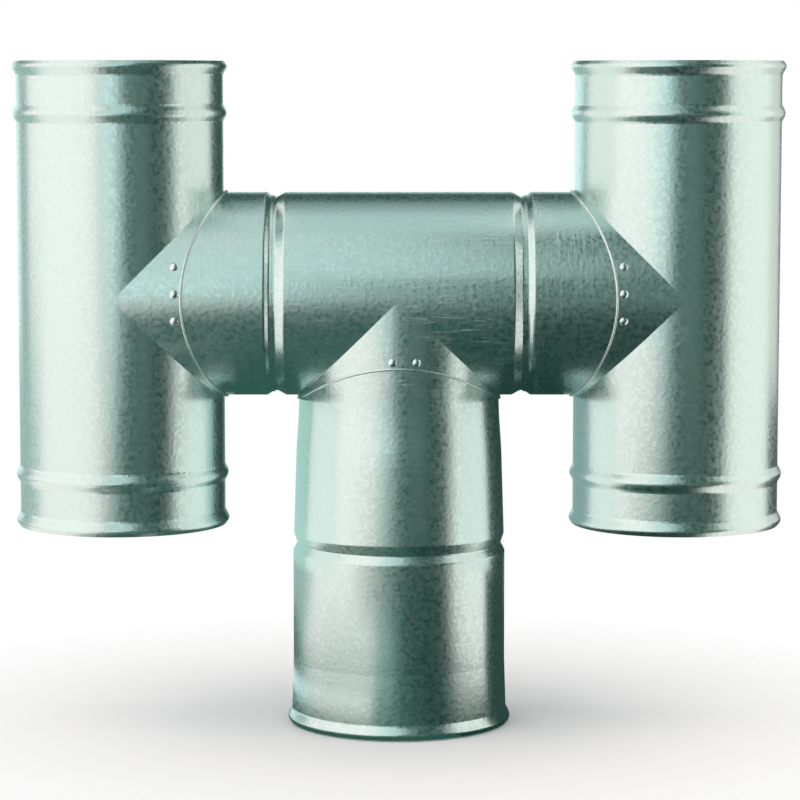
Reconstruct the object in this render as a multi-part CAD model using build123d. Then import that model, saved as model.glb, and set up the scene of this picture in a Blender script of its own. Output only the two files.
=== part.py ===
from build123d import *
import math
import os

# H-style chimney cap of galvanised sheet, in millimetres.
# Two open stacks stand at the ends of a cross tube, and the stem below it slips over a flue.
# Z is up, the front faces -Y, and the origin is the centre of the stem's mouth.

# Sheet and fits
sheet = 0.5  # thickness of the sheet in every tube
nest_gap = 0.1  # gap round a tube that sits inside another tube or a flange
rivet_gap = 0.05  # gap round a rivet's shank and under its head

# Stacks
stack_radius = 49.7  # outside
stack_length = 224.0
stack_spacing = 269.0  # between the axes of the two stacks
cross_height = 209.5  # axis of the cross tube above the stem's mouth

# Rolled rims of the stacks and the stem
rim_proud = 1.9  # crest of the rim above the wall
rim_angle = 27.0  # degrees that the wall flares into the rim
rim_turn = 2.4  # height of the edge that turns back in beyond the crest
rim_turn_angle = 35.0  # degrees
rim_bend = 1.5  # radius inside the fold at the crest

# Swaged beads of the stacks
bead_proud = 1.7  # crest of the bead above the wall
bead_angle = 28.0  # degrees of its two slopes
bead_bend = 3.0  # radius inside the fold at the crest
bead_inset = 25.0  # crest of the bead from the end of the stack
foot_bend = 2.5  # radius where a rim or a bead leaves the wall

# Flanges pulled out of a tube's wall round the tube that branches off it
stack_flange_depth = 32.0  # from the stack's axis to the flange's edge, at the front
cross_flange_depth = 32.5  # from the cross tube's axis to the flange's edge, at the front
flange_lip = 1.5  # width that is left at the two corners of a flange

# Lock grooves of the cross tube, with the branches crimped into them
groove_spacing = 120.0  # between the middles of the two grooves
groove_depth = 2.2
groove_floor = 3.0  # width of the flat floor
groove_rise = 4.0  # length of the slope towards the middle of the cap
groove_bend = 1.5  # radius inside the folds of the groove
crimp_run = 2.3  # length of the slope under the end of the branch
lock_overlap = 14.0  # length of the cross tube inside the branch, past the groove

# Stem
stem_flare = 2.7  # gain in radius from the top of the stem to its stop groove
stem_neck = 5.0  # straight length below the corners of the cross tube's flange
swell = 1.4  # part of the gain in radius that comes just below the neck
swell_run = 20.0  # height of that part
swell_bend = 200.0  # radius of its two gentle bends
stop_height = 93.0  # shoulder of the stop groove above the mouth
stop_depth = 1.6
stop_step = 5.0  # height of the slope from the shoulder to the bottom of the groove
stop_run = 3.8  # height of the slope from the bottom of the groove down to the socket
stop_bend = 1.0  # radius inside the folds of the groove
socket_radius = 51.1  # inside, round the flue
mouth_radius = 51.9  # inside, where the mouth is widened
mouth_depth = 31.0  # height of the widened mouth

# Rivets, with a row at the front and a row at the back of each flange
rivet_shank_radius = 1.0
rivet_head_radius = 2.0
rivet_head_height = 0.8
rivet_tail_radius = 1.6
rivet_tail_length = 0.9
rivet_edge = 3.0  # rivet's centre from the edge of the flange
stack_rivet_count = 3
stack_rivet_pitch = 13.0
stack_rivet_shift = 3.0  # middle of the row above the axis of the cross tube
stem_rivet_count = 2
stem_rivet_pitch = 11.5
stem_rivet_shift = 2.7  # middle of the row to the right of the stem's axis

# Sizes that follow from those above
cross_radius = stack_radius - sheet - nest_gap  # outside, and flush with the branches
neck_radius = cross_radius - sheet - nest_gap  # outside, where the cross tube goes into a branch
stem_top_radius = cross_radius - sheet - nest_gap
reach = stack_spacing + stack_length  # longer than any cut needs


def shifted(path, distance):
    """Return a path of (radius, height) corners moved outwards, with its corners mitred."""
    steps = [Vector(*end) - Vector(*start) for start, end in zip(path, path[1:])]
    normals = [Vector(step.Y, -step.X).normalized() for step in steps]
    moved = []
    for corner, before, after in zip(path, normals[:1] + normals, normals + normals[-1:]):
        move = (before + after) * (distance / (1 + before.dot(after)))
        moved.append((corner[0] + move.X, corner[1] + move.Y))
    return moved


def turns_inwards(start, corner, end):
    """Say whether a path that climbs turns towards the axis at a corner."""
    before = Vector(*corner) - Vector(*start)
    after = Vector(*end) - Vector(*corner)
    return before.X * after.Y > before.Y * after.X


def sheet_tube(path, bends):
    """Revolve a sheet about Z. The path is its outside, and a bend is the radius inside a fold."""
    outside_bends = []
    inside_bends = []
    for start, corner, end, bend in zip(path, path[1:], path[2:], bends):
        wide = bend + sheet if bend else 0
        inwards = turns_inwards(start, corner, end)
        outside_bends.append(wide if inwards else bend)
        inside_bends.append(bend if inwards else wide)
    inside = shifted(path, -sheet)
    outline = [
        FilletPolyline(*path, radius=outside_bends),
        Line(path[-1], inside[-1]),
        FilletPolyline(*inside, radius=inside_bends),
        Line(inside[0], path[0]),
    ]
    edges = [edge for curve in outline for edge in curve.edges()]
    return revolve(Plane.XZ * make_face(edges), axis=Axis.Z)


def fold_peak(proud, bend, half_turn):
    """Return the height of a fold's sharp corner whose rounded crest stands proud by that much."""
    return proud + (bend + sheet) * (1 / math.cos(math.radians(half_turn)) - 1)


def rim_corners(radius):
    """Return the outside corners of a rolled rim on a wall, from its edge up to its foot."""
    peak = fold_peak(rim_proud, rim_bend, (rim_angle + rim_turn_angle) / 2)
    edge = peak - rim_turn * math.tan(math.radians(rim_turn_angle))
    foot = rim_turn + peak / math.tan(math.radians(rim_angle))
    return [(radius + edge, 0), (radius + peak, rim_turn), (radius, foot)]


def bead_corners(radius, height):
    """Return the outside corners of a swaged bead on a wall."""
    peak = fold_peak(bead_proud, bead_bend, bead_angle)
    half_width = peak / math.tan(math.radians(bead_angle))
    return [(radius, height - half_width), (radius + peak, height), (radius, height + half_width)]


def tee_wedge(offset):
    """Return the space past the two mitre planes of a tee on Z that branches towards X."""
    corners = [(offset, 0), (offset + reach, -reach), (offset + reach, reach)]
    return extrude(Plane.XZ * make_face(Polyline(*corners, close=True)), amount=reach, both=True)


def tee_flange(radius, depth):
    """Return the flange of a tee on Z that branches towards X, with its edge cut to an arc."""
    rise = radius + flange_lip - depth
    arc_radius = (rise**2 + radius**2) / (2 * rise)
    length = radius + 2 * flange_lip
    collar = Cylinder(radius, length, rotation=(0, 90, 0), align=(Align.CENTER, Align.CENTER, Align.MIN))
    collar -= Cylinder(radius - sheet, reach, rotation=(0, 90, 0))
    arc_cut = Pos(depth + arc_radius, 0, 0) * Cylinder(arc_radius, reach, rotation=(90, 0, 0))
    return (collar & tee_wedge(0)) - arc_cut


def tee(tube, radius, depth):
    """Open a tube on Z towards X and add the flange that is pulled out of its wall."""
    return (tube - tee_wedge(0)) + tee_flange(radius, depth)


def rivet_seats(radius, depth, count, pitch, shift):
    """Return the planes of the rivets on a tee's flange, at the front and at the back."""
    seats = []
    for index in range(count):
        angle = (shift + (index - (count - 1) / 2) * pitch) / radius
        for side in (-1, 1):
            outwards = Vector(0, side * math.cos(angle), math.sin(angle))
            origin = outwards * radius + Vector(depth - rivet_edge, 0, 0)
            seats.append(Plane(origin=origin, x_dir=(1, 0, 0), z_dir=outwards))
    return seats


def rivet():
    """Return a dome-headed rivet with its head on the XY plane and its closed tail below."""
    tail_top = -2 * (sheet + nest_gap + rivet_gap)
    tail_end = tail_top - rivet_tail_length
    dome_radius = (rivet_head_radius**2 + rivet_head_height**2) / (2 * rivet_head_height)
    half_angle = math.asin(rivet_head_radius / dome_radius) / 2
    dome_middle = (
        dome_radius * math.sin(half_angle),
        rivet_head_height - dome_radius * (1 - math.cos(half_angle)),
    )
    dome = ThreePointArc((0, rivet_head_height), dome_middle, (rivet_head_radius, 0))
    rest = Polyline(
        (rivet_head_radius, 0),
        (rivet_shank_radius, 0),
        (rivet_shank_radius, tail_top),
        (rivet_tail_radius, tail_top),
        (rivet_shank_radius, tail_end),
        (0, tail_end),
        (0, rivet_head_height),
    )
    profile = make_face(dome.edges() + rest.edges())
    return Pos(0, 0, rivet_gap) * revolve(Plane.XZ * profile, axis=Axis.Z)


def rivet_holes(seats):
    """Return the drills for the rivets on those seats."""
    depth = 2 * (rivet_head_height + rivet_tail_length)
    drill = Cylinder(rivet_shank_radius + rivet_gap, depth)
    return [seat * drill for seat in seats]


def stack_tube():
    """Return a stack's plain tube on Z, centred on the cross tube's axis."""
    lower = rim_corners(stack_radius) + bead_corners(stack_radius, bead_inset)
    upper = [(radius, stack_length - height) for radius, height in reversed(lower)]
    lower_bends = [rim_bend, foot_bend, foot_bend, bead_bend, foot_bend]
    tube = sheet_tube(lower + upper, lower_bends + lower_bends[::-1])
    return Pos(0, 0, -stack_length / 2) * tube


def lock_path():
    """Return the outside of the cross tube's left end, from its edge to the slope past the groove."""
    middle = -groove_spacing / 2
    crimp_foot = middle - groove_floor / 2
    crimp_top = crimp_foot - crimp_run
    floor_end = middle + groove_floor / 2
    floor_radius = cross_radius - groove_depth
    return [
        (neck_radius, crimp_top - lock_overlap),
        (neck_radius, crimp_top),
        (floor_radius, crimp_foot),
        (floor_radius, floor_end),
        (cross_radius, floor_end + groove_rise),
    ]


def cross_run():
    """Return the cross tube's plain run on Z, with its two lock grooves."""
    left = lock_path()
    path = left + [(radius, -height) for radius, height in reversed(left)]
    return sheet_tube(path, [groove_bend] * (len(path) - 2))


def left_branch_tube():
    """Return the left branch's plain tube on Z, from the stack's axis to its crimped end."""
    crimp_top, crimp_foot = lock_path()[1:3]
    tip = (crimp_foot[0], -groove_spacing / 2)
    seat = [(neck_radius, -stack_spacing / 2), crimp_top, crimp_foot, tip]
    return sheet_tube(shifted(seat, nest_gap + sheet), [groove_bend, groove_bend])


def stem_tube():
    """Return the stem's plain tube, from its mouth to the axis of the cross tube."""
    socket_outside = socket_radius + sheet
    shoulder = stem_top_radius + stem_flare
    neck_end = cross_height - cross_radius - flange_lip - stem_neck
    path = rim_corners(mouth_radius + sheet) + [
        (socket_outside, mouth_depth),
        (socket_outside, stop_height - stop_step - stop_run),
        (shoulder - stop_depth, stop_height - stop_step),
        (shoulder, stop_height),
        (stem_top_radius + swell, neck_end - swell_run),
        (stem_top_radius, neck_end),
        (stem_top_radius, cross_height),
    ]
    stop_bends = [stop_bend] * 3
    swell_bends = [swell_bend] * 2
    return sheet_tube(path, [rim_bend, foot_bend, 0] + stop_bends + swell_bends)


# Places: a tee is modelled on Z branching towards X, and then set on its own axis
left_place = Pos(-stack_spacing / 2, 0, cross_height)
cross_place = Pos(0, 0, cross_height) * Rot(0, 90, 0)
stack_seats = rivet_seats(
    stack_radius, stack_flange_depth, stack_rivet_count, stack_rivet_pitch, stack_rivet_shift
)
stem_seats = rivet_seats(
    cross_radius, cross_flange_depth, stem_rivet_count, stem_rivet_pitch, stem_rivet_shift
)
stack_holes = [left_place * hole for hole in rivet_holes(stack_seats)]
stem_holes = [cross_place * hole for hole in rivet_holes(stem_seats)]

left_stack = left_place * tee(stack_tube(), stack_radius, stack_flange_depth) - stack_holes
left_branch = cross_place * left_branch_tube() & left_place * tee_wedge(nest_gap)
left_branch -= stack_holes
cross_tube = cross_place * tee(cross_run(), cross_radius, cross_flange_depth) - stem_holes
stem = stem_tube() & cross_place * tee_wedge(nest_gap)
stem -= stem_holes
left_rivets = Compound([left_place * (seat * rivet()) for seat in stack_seats])
stem_rivets = Compound([cross_place * (seat * rivet()) for seat in stem_seats])

nodes = {
    "left_stack": left_stack,
    "right_stack": mirror(left_stack, about=Plane.YZ),
    "left_branch": left_branch,
    "right_branch": mirror(left_branch, about=Plane.YZ),
    "cross_tube": cross_tube,
    "stem": stem,
    "left_rivets": left_rivets,
    "right_rivets": mirror(left_rivets, about=Plane.YZ),
    "stem_rivets": stem_rivets,
}

os.makedirs("parts", exist_ok=True)
for name, shape in nodes.items():
    export_step(shape, f"parts/{name}.step")
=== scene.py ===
import math

import bpy
from mathutils import Euler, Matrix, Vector


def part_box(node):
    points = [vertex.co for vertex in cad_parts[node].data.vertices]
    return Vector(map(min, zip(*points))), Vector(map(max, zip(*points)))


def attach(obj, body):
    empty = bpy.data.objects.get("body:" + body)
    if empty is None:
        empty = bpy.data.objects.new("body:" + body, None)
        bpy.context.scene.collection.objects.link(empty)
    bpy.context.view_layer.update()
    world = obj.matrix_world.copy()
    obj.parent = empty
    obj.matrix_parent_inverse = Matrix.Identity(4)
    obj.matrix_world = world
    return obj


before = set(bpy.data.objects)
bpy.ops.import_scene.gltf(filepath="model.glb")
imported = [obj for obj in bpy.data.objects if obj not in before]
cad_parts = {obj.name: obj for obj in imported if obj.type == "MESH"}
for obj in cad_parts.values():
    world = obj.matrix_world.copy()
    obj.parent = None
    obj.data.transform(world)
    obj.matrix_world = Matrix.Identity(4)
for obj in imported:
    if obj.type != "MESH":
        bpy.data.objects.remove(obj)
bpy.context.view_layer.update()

# H-style chimney cap in a white studio. Lengths are in metres and angles in degrees. Azimuth 0 is
# towards the camera, and positive azimuths are to the camera's right.

# Camera
photo_size = 800  # pixels along a side of the square picture
focal_pixels = 3000.0
sensor_width = 36.0  # millimetres
camera_distance = 1.46
camera_pitch = 6.0  # downwards
level_view = 90.0  # turn about X at which the camera looks level
camera_aim = Vector((0.0005, 0.0, 0.1575))

# Light panels, each a patch of a sphere round the cap: the ends in azimuth and in elevation,
# the sphere's radius, the strength of the light and its colour
panel_height = 0.21  # middle of the spheres
far = 2.2
near = 1.0
close = 0.55
warm_white = (1.0, 0.93, 0.9)
rose_white = (1.0, 0.88, 0.88)
teal_white = (0.65, 1.0, 0.88)
cool_white = (0.84, 1.0, 1.0)
panels = {
    "left_panel": ((-116, -22), (-30, 72), far, 1.45, rose_white),
    "front_panel": ((-22, -3), (-4, 20), near, 1.22, cool_white),
    "middle_panel": ((10, 30), (-12, 12), near, 0.22, teal_white),
    "high_panel": ((-22, 8), (20, 72), near, 0.98, cool_white),
    "top_panel": ((-180, 180), (72, 90), near, 0.8, cool_white),
    "rear_panel": ((130, 230), (52, 72), far, 0.45, cool_white),
    "right_panel": ((59, 108), (-30, 50), close, 1.32, warm_white),
    "far_right_panel": ((108, 132), (-10, 50), close, 0.9, warm_white),
    "back_panel": ((-138, -116), (-20, 45), far, 0.45, cool_white),
    "behind_panel": ((-190, -138), (-20, 18), far, 1.25, cool_white),
}
patch_step = 6.0  # degrees to a face of a panel or a strip

# The dark room behind the panels, a whole sphere, and the white world
surround_colour = (0.02, 0.08, 0.063)
surround_radius = 3.0
whole_turn = (0, 360)
whole_rise = (-90, 90)
white = (1.0, 1.0, 1.0, 1.0)
fill_strength = 0.9  # of the world, for what neither the camera nor the metal sees

# Cards on the floor that only show in the metal: a colour, and corners as (x, y)
card_height = 0.0004
dark_colour = (0.012, 0.052, 0.042)
dim_colour = (0.42, 0.56, 0.53)
teal_colour = (0.035, 0.115, 0.095)
pale_colour = (1.32, 1.16, 1.14)
left_edge = [(-0.2, -0.2), (-0.28, -0.3), (-0.28, -0.55), (-0.19, -0.95), (-0.19, -2.2)]
right_edge = [(0.17, -0.03), (0.2, -0.13), (0.5, -0.38), (2.1, -1.18)]
front_corners = [(2.1, -2.2), (0.2, -2.2), (0.03, -0.2)]
teal_corners = [(-0.2, 0.3), (0.03, 0.3), (0.03, -0.2), (0.2, -2.2)]
cards = {
    "front_card": (dark_colour, [(0.03, 0.3), (0.13, 0.3), *right_edge, *front_corners]),
    "teal_card": (teal_colour, [*teal_corners, *reversed(left_edge)]),
    "left_card": (pale_colour, [(-0.2, 0.12), *left_edge, (-2.1, -2.2), (-2.1, 0.12)]),
    "right_card": (pale_colour, [(0.16, 0.03), *right_edge, (2.1, 0.6)]),
    "back_right_card": (dark_colour, [(0.16, 0.03), (2.1, 0.6), (2.1, 2.0), (1.0, 2.0), (0.13, 0.3)]),
    "back_left_card": (dim_colour, [(-0.2, 0.12), (-0.2, 0.3), (-1.2, 2.0), (-2.1, 2.0), (-2.1, 0.12)]),
    "behind_card": (dim_colour, [(-0.2, 0.3), (0.13, 0.3), (1.0, 2.0), (-1.2, 2.0)]),
}

# Upright boards between the tubes that only show in the metal: a colour, x, and the ends in y and in z
soft_colour = (1.15, 1.08, 1.05)
plain_colour = (1.12, 1.1, 1.08)
shade_colour = (0.025, 0.065, 0.056)
mist_colour = (0.55, 0.8, 0.75)
slate_colour = (0.32, 0.45, 0.45)
inner_x = 0.0635  # of the boards nearer the middle of the cap
outer_x = 0.0665  # of the boards nearer a stack
socket_heights = (0.001, 0.0745)
stem_heights = (0.075, 0.1595)
stack_heights = (0.2595, 0.34)
boards = {
    "left_board": (plain_colour, -inner_x, (-0.052, -0.014), stem_heights),
    "right_board": (plain_colour, inner_x, (-0.052, -0.019), stem_heights),
    "upper_left_board": (soft_colour, -inner_x, (-0.047, -0.004), stack_heights),
    "upper_right_board": (soft_colour, inner_x, (-0.047, -0.004), stack_heights),
    "right_shade": (shade_colour, inner_x, (-0.018, 0.06), stem_heights),
    "right_front_board": (plain_colour, outer_x, (-0.03, -0.0125), stem_heights),
    "right_back_board": (slate_colour, outer_x, (-0.012, 0.06), stem_heights),
    "left_back_board": (mist_colour, -inner_x, (-0.012, 0.06), stem_heights),
    "left_shade": (shade_colour, -outer_x, (-0.005, 0.06), stem_heights),
    "upper_left_shade": (shade_colour, -inner_x, (-0.003, 0.06), stack_heights),
    "low_right_shade": (shade_colour, inner_x, (-0.024, 0.03), socket_heights),
}

# Level boards just under the branches that only show in the metal: a colour, and the ends in x and in y
eave_height = 0.159
eaves = {
    "left_eave": (teal_colour, (-0.08, -0.047), (-0.05, 0.02)),
    "right_eave": (dark_colour, (0.047, 0.08), (-0.05, 0.02)),
}

# Low strips that lean in round the left of the stem and only show in the metal: a colour, the ends
# in azimuth, the radius at the foot and at the top, and the height
bright_colour = (1.1, 1.0, 0.98)
faint_colour = (0.3, 0.5, 0.46)
cool_colour = (0.95, 1.08, 1.08)
strips = {
    "bright_strip": (bright_colour, (-76, -22), (0.2, 0.175), 0.036),
    "faint_strip": (faint_colour, (-22, -4), (0.2, 0.175), 0.036),
    "bright_kerb": (bright_colour, (-86, -22), (0.11, 0.105), 0.012),
    "cool_kerb": (cool_colour, (-146, -86), (0.11, 0.105), 0.012),
}

# Floor
floor_radius = 1.2
floor_sides = 96
floor_drop = 0.0002  # below the stem's mouth
floor_fade = (0.09, 0.3)  # distances from the middle between which the floor runs out into white
floor_colour = (0.94, 0.94, 0.94, 1.0)

# Mottling of the zinc
noise_roughness = 0.45
mottle_scale = 470.0  # waves to a metre
mottle_detail = 1.5
mottle_ends = (0.3, 0.7)  # noise that is fully dull and fully bright
mottle_dulling = 0.06  # most that the mottling adds to the roughness or takes from it
bump_strength = 0.8
bump_depth = 0.00008

# Scratches, upright on the branches and level on the cross tube, in patches
scratch_height = 0.2095  # axis of the cross tube, where the cap is scratched most
height_fade = (0.04, 0.055)  # distances from that axis between which the scratches thin out
end_fade = (0.09, 0.11)  # distances from the middle of the cap between which they thin out
branch_fade = (0.055, 0.065)  # distances from the middle between which they turn upright
few_scratches = 0.12  # share of the scratches that is left elsewhere
patch_scale = 34.0  # waves to a metre
patch_detail = 2.0
patch_ends = (0.42, 0.62)  # noise between which a patch comes in
scratch_scale = 70.0  # waves to a metre along a scratch
scratch_detail = 1.0
upright_stretch = (26.0, 2.0, 1.0)
upright_ends = (0.55, 0.72)  # noise between which a scratch comes in
level_stretch = (1.0, 2.0, 26.0)
level_ends = (0.6, 0.72)
scratch_dulling = 0.18  # roughness that a scratch adds

# Flanges of the three tees
sheet_thickness = 0.0005
nest_gap = 0.0001  # between nested tubes
flange_lip = 0.0015  # width that is left at the two corners of a flange
stack_flange_depth = 0.032  # from the stack's axis to the flange's edge, at the front
cross_flange_depth = 0.0325  # from the cross tube's axis to the flange's edge, at the front
edge_radius = 0.0006  # of the rounded edge of a flange
edge_sunk = 0.0002  # middle of that edge below the flange's outside
edge_steps = 240  # along the edge
edge_sides = 10  # round the edge


def new_material(name):
    """Return an empty material with its node tree and output."""
    material = bpy.data.materials.new(name)
    material.use_nodes = True
    tree = material.node_tree
    tree.nodes.clear()
    return material, tree, tree.nodes.new("ShaderNodeOutputMaterial")


def feed(tree, socket, value):
    """Link another socket into a socket, or set it to a constant."""
    if isinstance(value, bpy.types.NodeSocket):
        tree.links.new(value, socket)
    else:
        socket.default_value = value


def add(tree, kind, inputs=None, **settings):
    """Add a node, with its own settings and with what feeds its sockets."""
    node = tree.nodes.new(kind)
    for name, value in settings.items():
        setattr(node, name, value)
    for socket, value in (inputs or {}).items():
        feed(tree, node.inputs[socket], value)
    return node


def spread(tree, value, low, high, to_low=0.0, to_high=1.0):
    """Map a value from one range to another, and stop at the ends."""
    inputs = {"Value": value, "From Min": low, "From Max": high, "To Min": to_low, "To Max": to_high}
    return add(tree, "ShaderNodeMapRange", inputs).outputs["Result"]


def thin_out(tree, value, low, high):
    """Return 1 up to the low end of a range, and fall to 0 at its high end."""
    return spread(tree, value, low, high, 1.0, 0.0)


def calculate(tree, operation, *values):
    """Join values, each a socket or a number, by an operation."""
    node = add(tree, "ShaderNodeMath", operation=operation)
    for socket, value in zip(node.inputs, values):
        feed(tree, socket, value)
    return node.outputs["Value"]


def blend(tree, share, first, second):
    """Mix two colours, each a socket or a constant, by a share."""
    node = add(tree, "ShaderNodeMix", {"Factor": share}, data_type="RGBA")
    colour_sockets = [socket for socket in node.inputs if socket.type == "RGBA"]
    for socket, colour in zip(colour_sockets, (first, second)):
        feed(tree, socket, colour)
    return next(socket for socket in node.outputs if socket.type == "RGBA")


def direction(azimuth, elevation):
    """Return the unit vector from the cap, with azimuth 0 towards the camera."""
    turn = math.radians(azimuth)
    rise = math.radians(elevation)
    level = math.cos(rise)
    return Vector((math.sin(turn) * level, -math.cos(turn) * level, math.sin(rise)))


def part_way(ends, index, count):
    """Return the value at a step on the way between two ends."""
    return ends[0] + (ends[1] - ends[0]) * index / count


def rectangle(first, second):
    """Return the four corners of a rectangle, in order round it."""
    return [(first[0], second[0]), (first[1], second[0]), (first[1], second[1]), (first[0], second[1])]


def glow_material(name, colour, strength=1.0):
    """Return a material that only gives light."""
    material, tree, output = new_material(name)
    glow = add(tree, "ShaderNodeEmission", {"Color": (*colour, 1.0), "Strength": strength})
    tree.links.new(glow.outputs["Emission"], output.inputs["Surface"])
    return material


def new_mesh(name, points, faces, material):
    """Add a mesh object."""
    mesh = bpy.data.meshes.new(name)
    mesh.from_pydata(points, [], faces)
    mesh.materials.append(material)
    piece = bpy.data.objects.new(name, mesh)
    bpy.context.scene.collection.objects.link(piece)
    return piece


def sphere_patch(name, azimuth, elevation, radius, material):
    """Add a studio patch of a sphere round the cap."""
    columns = round((azimuth[1] - azimuth[0]) / patch_step)
    rows = round((elevation[1] - elevation[0]) / patch_step)
    middle = Vector((0.0, 0.0, panel_height))
    points = []
    for row in range(rows + 1):
        rise = part_way(elevation, row, rows)
        for column in range(columns + 1):
            turn = part_way(azimuth, column, columns)
            points.append(middle + direction(turn, rise) * radius)
    faces = []
    for row in range(rows):
        for column in range(columns):
            first = row * (columns + 1) + column
            above = first + columns + 1
            faces.append((first, first + 1, above + 1, above))
    patch = new_mesh(name, points, faces, material)
    return patch


def light_panel(name, azimuth, elevation, radius, strength, colour):
    """Add a large soft light that the camera doesn't see."""
    panel = sphere_patch(name, azimuth, elevation, radius, glow_material(name, colour, strength))
    panel.visible_camera = False


def only_in_reflections(piece):
    """Leave a studio piece to the reflections alone."""
    piece.visible_camera = False
    piece.visible_diffuse = False
    piece.visible_shadow = False
    piece.visible_transmission = False
    piece.visible_volume_scatter = False


def reflector(name, colour, points, faces):
    """Add a glowing studio piece that only shows in the metal."""
    card = new_mesh(name, points, faces, glow_material(name, colour))
    only_in_reflections(card)


def flat_reflector(name, colour, corners):
    """Add a flat card or board that only shows in the metal."""
    reflector(name, colour, corners, [range(len(corners))])


def low_strip(name, colour, azimuth, radii, height):
    """Add a strip on the floor round the stem that only shows in the metal."""
    columns = round((azimuth[1] - azimuth[0]) / patch_step)
    top = Vector((0.0, 0.0, height))
    points = []
    for column in range(columns + 1):
        way = direction(part_way(azimuth, column, columns), 0)
        points += [way * radii[0], way * radii[1] + top]
    faces = [(2 * column, 2 * column + 2, 2 * column + 3, 2 * column + 1) for column in range(columns)]
    reflector(name, colour, points, faces)


def floor_material():
    """Return a pale matt floor that runs out into the white round it."""
    material, tree, output = new_material("pale_floor")
    place = add(tree, "ShaderNodeTexCoord").outputs["Object"]
    distance = add(tree, "ShaderNodeVectorMath", {0: place}, operation="LENGTH").outputs["Value"]
    fade = spread(tree, distance, *floor_fade)
    matt = add(tree, "ShaderNodeBsdfDiffuse", {"Color": floor_colour}).outputs["BSDF"]
    clear = add(tree, "ShaderNodeBsdfTransparent").outputs["BSDF"]
    mix = add(tree, "ShaderNodeMixShader", {0: fade, 1: matt, 2: clear})
    tree.links.new(mix.outputs["Shader"], output.inputs["Surface"])
    return material


def add_floor():
    """Add the flat round floor."""
    points = []
    for index in range(floor_sides):
        angle = 2 * math.pi * index / floor_sides
        points.append((floor_radius * math.cos(angle), floor_radius * math.sin(angle), -floor_drop))
    floor = new_mesh("floor", points, [range(floor_sides)], floor_material())


def white_world():
    """Make the world white where it is seen, and a softer fill elsewhere."""
    world = bpy.data.worlds.new("studio")
    world.use_nodes = True
    tree = world.node_tree
    tree.nodes.clear()
    path = add(tree, "ShaderNodeLightPath")
    seen = path.outputs["Is Camera Ray"]
    for ray in ("Is Glossy Ray", "Is Transmission Ray"):
        seen = calculate(tree, "MAXIMUM", seen, path.outputs[ray])
    strength = spread(tree, seen, 0.0, 1.0, fill_strength, 1.0)
    background = add(tree, "ShaderNodeBackground", {"Color": white, "Strength": strength})
    add(tree, "ShaderNodeOutputWorld", {"Surface": background.outputs["Background"]})
    bpy.context.scene.world = world


def noise(tree, place, scale, detail, stretch=(1.0, 1.0, 1.0)):
    """Return a soft noise of that many waves to a metre, squeezed along the axes."""
    mapped = add(tree, "ShaderNodeMapping", {"Vector": place, "Scale": stretch}).outputs["Vector"]
    inputs = {"Vector": mapped, "Scale": scale, "Detail": detail, "Roughness": noise_roughness}
    return add(tree, "ShaderNodeTexNoise", inputs).outputs["Fac"]


def scratch_shares(tree, place):
    """Return how much each place is scratched, from 0 to 1."""
    along = add(tree, "ShaderNodeSeparateXYZ", {"Vector": place}).outputs
    off_axis = calculate(tree, "ABSOLUTE", calculate(tree, "SUBTRACT", along["Z"], scratch_height))
    off_middle = calculate(tree, "ABSOLUTE", along["X"])
    near_axis = thin_out(tree, off_axis, *height_fade)
    near_middle = thin_out(tree, off_middle, *end_fade)
    near_cross = calculate(tree, "MINIMUM", near_axis, near_middle)
    handled = calculate(tree, "MAXIMUM", near_cross, few_scratches)
    blotches = spread(tree, noise(tree, place, patch_scale, patch_detail), *patch_ends)
    patches = calculate(tree, "MULTIPLY", blotches, handled)
    on_branch = spread(tree, off_middle, *branch_fade)
    off_branch = calculate(tree, "SUBTRACT", 1.0, on_branch)
    upright_noise = noise(tree, place, scratch_scale, scratch_detail, upright_stretch)
    level_noise = noise(tree, place, scratch_scale, scratch_detail, level_stretch)
    upright = calculate(tree, "MULTIPLY", spread(tree, upright_noise, *upright_ends), on_branch)
    level = calculate(tree, "MULTIPLY", spread(tree, level_noise, *level_ends), off_branch)
    return calculate(tree, "MULTIPLY", calculate(tree, "ADD", level, upright), patches)


def galvanised(name, dull, bright, scratched, roughness):
    """Return zinc coated metal with fine mottling and light scratches."""
    material, tree, output = new_material(name)
    place = add(tree, "ShaderNodeTexCoord").outputs["Object"]
    mottle = noise(tree, place, mottle_scale, mottle_detail)
    tone = spread(tree, mottle, *mottle_ends)
    scratches = scratch_shares(tree, place)
    colour = blend(tree, scratches, blend(tree, tone, dull, bright), scratched)
    dullness = spread(tree, mottle, *mottle_ends, roughness + mottle_dulling, roughness - mottle_dulling)
    scratch_roughness = calculate(tree, "MULTIPLY", scratches, scratch_dulling)
    bump_inputs = {"Height": mottle, "Strength": bump_strength, "Distance": bump_depth}
    inputs = {
        "Base Color": colour,
        "Metallic": 1.0,
        "Roughness": calculate(tree, "ADD", dullness, scratch_roughness),
        "Normal": add(tree, "ShaderNodeBump", bump_inputs).outputs["Normal"],
    }
    surface = add(tree, "ShaderNodeBsdfPrincipled", inputs)
    tree.links.new(surface.outputs["BSDF"], output.inputs["Surface"])
    return material


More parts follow.
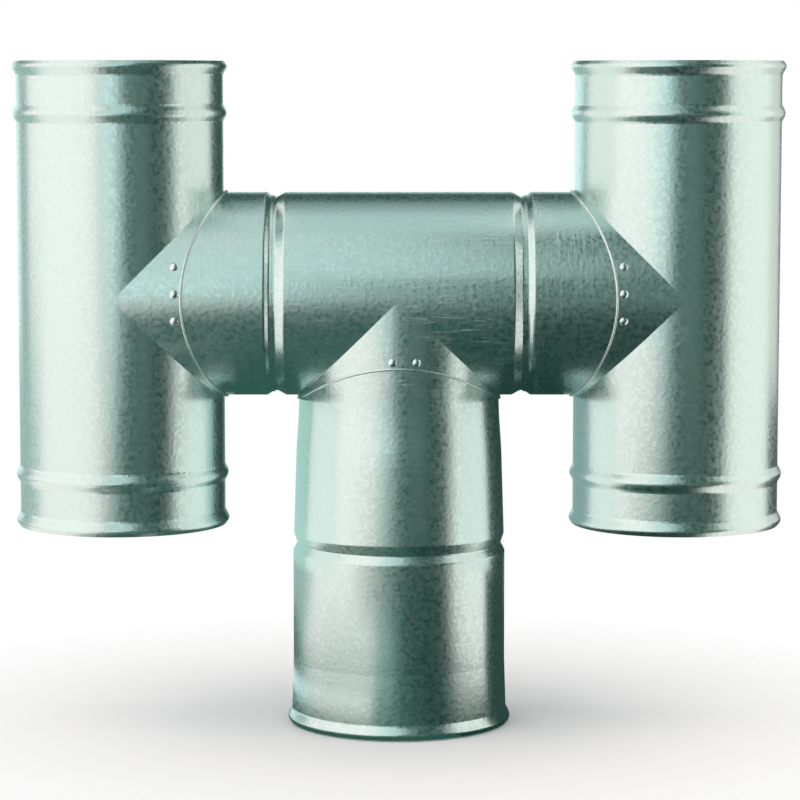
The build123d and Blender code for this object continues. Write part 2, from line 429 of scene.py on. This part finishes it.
def flange_edge(name, radius, depth, place, material):
    """Add the rounded edge of a tee's flange.

    It is drawn for a tube on Z that branches towards X, and place moves each point to the cap.
    """
    rise = radius + flange_lip - depth
    arc_radius = (rise**2 + radius**2) / (2 * rise)
    points = []
    faces = []
    for step in range(edge_steps):
        turn = 2 * math.pi * step / edge_steps
        level = radius * math.sin(turn)
        along = depth + arc_radius - math.sqrt(arc_radius**2 - level**2)
        outwards = Vector((0.0, math.cos(turn), math.sin(turn)))
        middle = Vector((along, 0.0, 0.0)) + outwards * (radius - edge_sunk)
        ring = step * edge_sides
        next_ring = (step + 1) % edge_steps * edge_sides
        for side in range(edge_sides):
            angle = 2 * math.pi * side / edge_sides
            swing = Vector((math.cos(angle), 0.0, 0.0)) + outwards * math.sin(angle)
            points.append(place(middle + swing * edge_radius))
            next_side = (side + 1) % edge_sides
            faces.append((ring + side, ring + next_side, next_ring + next_side, next_ring + side))
    edge = new_mesh(name, points, faces, material)
    edge.data.polygons.foreach_set("use_smooth", [True] * len(faces))
    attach(edge, "root")


def set_camera():
    """Set the camera to the photograph's view."""
    data = bpy.data.cameras.new("camera")
    data.sensor_width = sensor_width
    data.lens = focal_pixels / photo_size * sensor_width
    camera = bpy.data.objects.new("camera", data)
    bpy.context.scene.collection.objects.link(camera)
    camera.location = camera_aim + direction(0, camera_pitch) * camera_distance
    camera.rotation_euler = Euler((math.radians(level_view - camera_pitch), 0.0, 0.0))
    bpy.context.scene.camera = camera


# Studio
set_camera()
white_world()
for panel_name, panel in panels.items():
    light_panel(panel_name, *panel)
dark = glow_material("dark_surround", surround_colour)
only_in_reflections(sphere_patch("dark_surround", whole_turn, whole_rise, surround_radius, dark))
for card_name, (card_colour, card_corners) in cards.items():
    flat_reflector(card_name, card_colour, [(x, y, card_height) for x, y in card_corners])
for board_name, (board_colour, board_x, depths, heights) in boards.items():
    flat_reflector(board_name, board_colour, [(board_x, y, z) for y, z in rectangle(depths, heights)])
for eave_name, (eave_colour, widths, depths) in eaves.items():
    flat_reflector(eave_name, eave_colour, [(x, y, eave_height) for x, y in rectangle(widths, depths)])
for strip_name, strip in strips.items():
    low_strip(strip_name, *strip)
add_floor()

# Materials
sheet = galvanised(
    "galvanised_sheet",
    dull=(0.558, 0.712, 0.672, 1.0),
    bright=(0.568, 0.72, 0.68, 1.0),
    scratched=(0.74, 0.86, 0.82, 1.0),
    roughness=0.3,
)
# The flanges' edges are lighter than the sheet: a painted highlight that makes them show as bright
# lines.
edge_metal_painted_highlight = galvanised(
    "cut_edge_painted_highlight",
    dull=(0.7, 0.8, 0.77, 1.0),
    bright=(0.78, 0.86, 0.83, 1.0),
    scratched=(0.85, 0.9, 0.88, 1.0),
    roughness=0.4,
)
zinc = galvanised(
    "zinc_rivet",
    dull=(0.62, 0.72, 0.7, 1.0),
    bright=(0.74, 0.82, 0.8, 1.0),
    scratched=(0.85, 0.9, 0.88, 1.0),
    roughness=0.28,
)
for node_name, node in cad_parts.items():
    node.data.materials.clear()
    node.data.materials.append(zinc if node_name.endswith("rivets") else sheet)

# The flanges' edges, on the axes of the tubes that carry them
left_low, left_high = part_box("left_stack")
branch_low, branch_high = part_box("left_branch")
cross_middle = (branch_low.z + branch_high.z) / 2
left_axis = (left_low.x + left_high.x) / 2
cross_radius = (branch_high.z - branch_low.z) / 2
stack_radius = cross_radius + sheet_thickness + nest_gap
flange_edge(
    "left_flange_edge",
    stack_radius,
    stack_flange_depth,
    lambda point: Vector((left_axis + point.x, point.y, cross_middle + point.z)),
    edge_metal_painted_highlight,
)
flange_edge(
    "right_flange_edge",
    stack_radius,
    stack_flange_depth,
    lambda point: Vector((-left_axis - point.x, point.y, cross_middle + point.z)),
    edge_metal_painted_highlight,
)
flange_edge(
    "stem_flange_edge",
    cross_radius,
    cross_flange_depth,
    lambda point: Vector((point.z, point.y, cross_middle - point.x)),
    edge_metal_painted_highlight,
)
bpy.context.scene.view_settings.view_transform = "Standard"
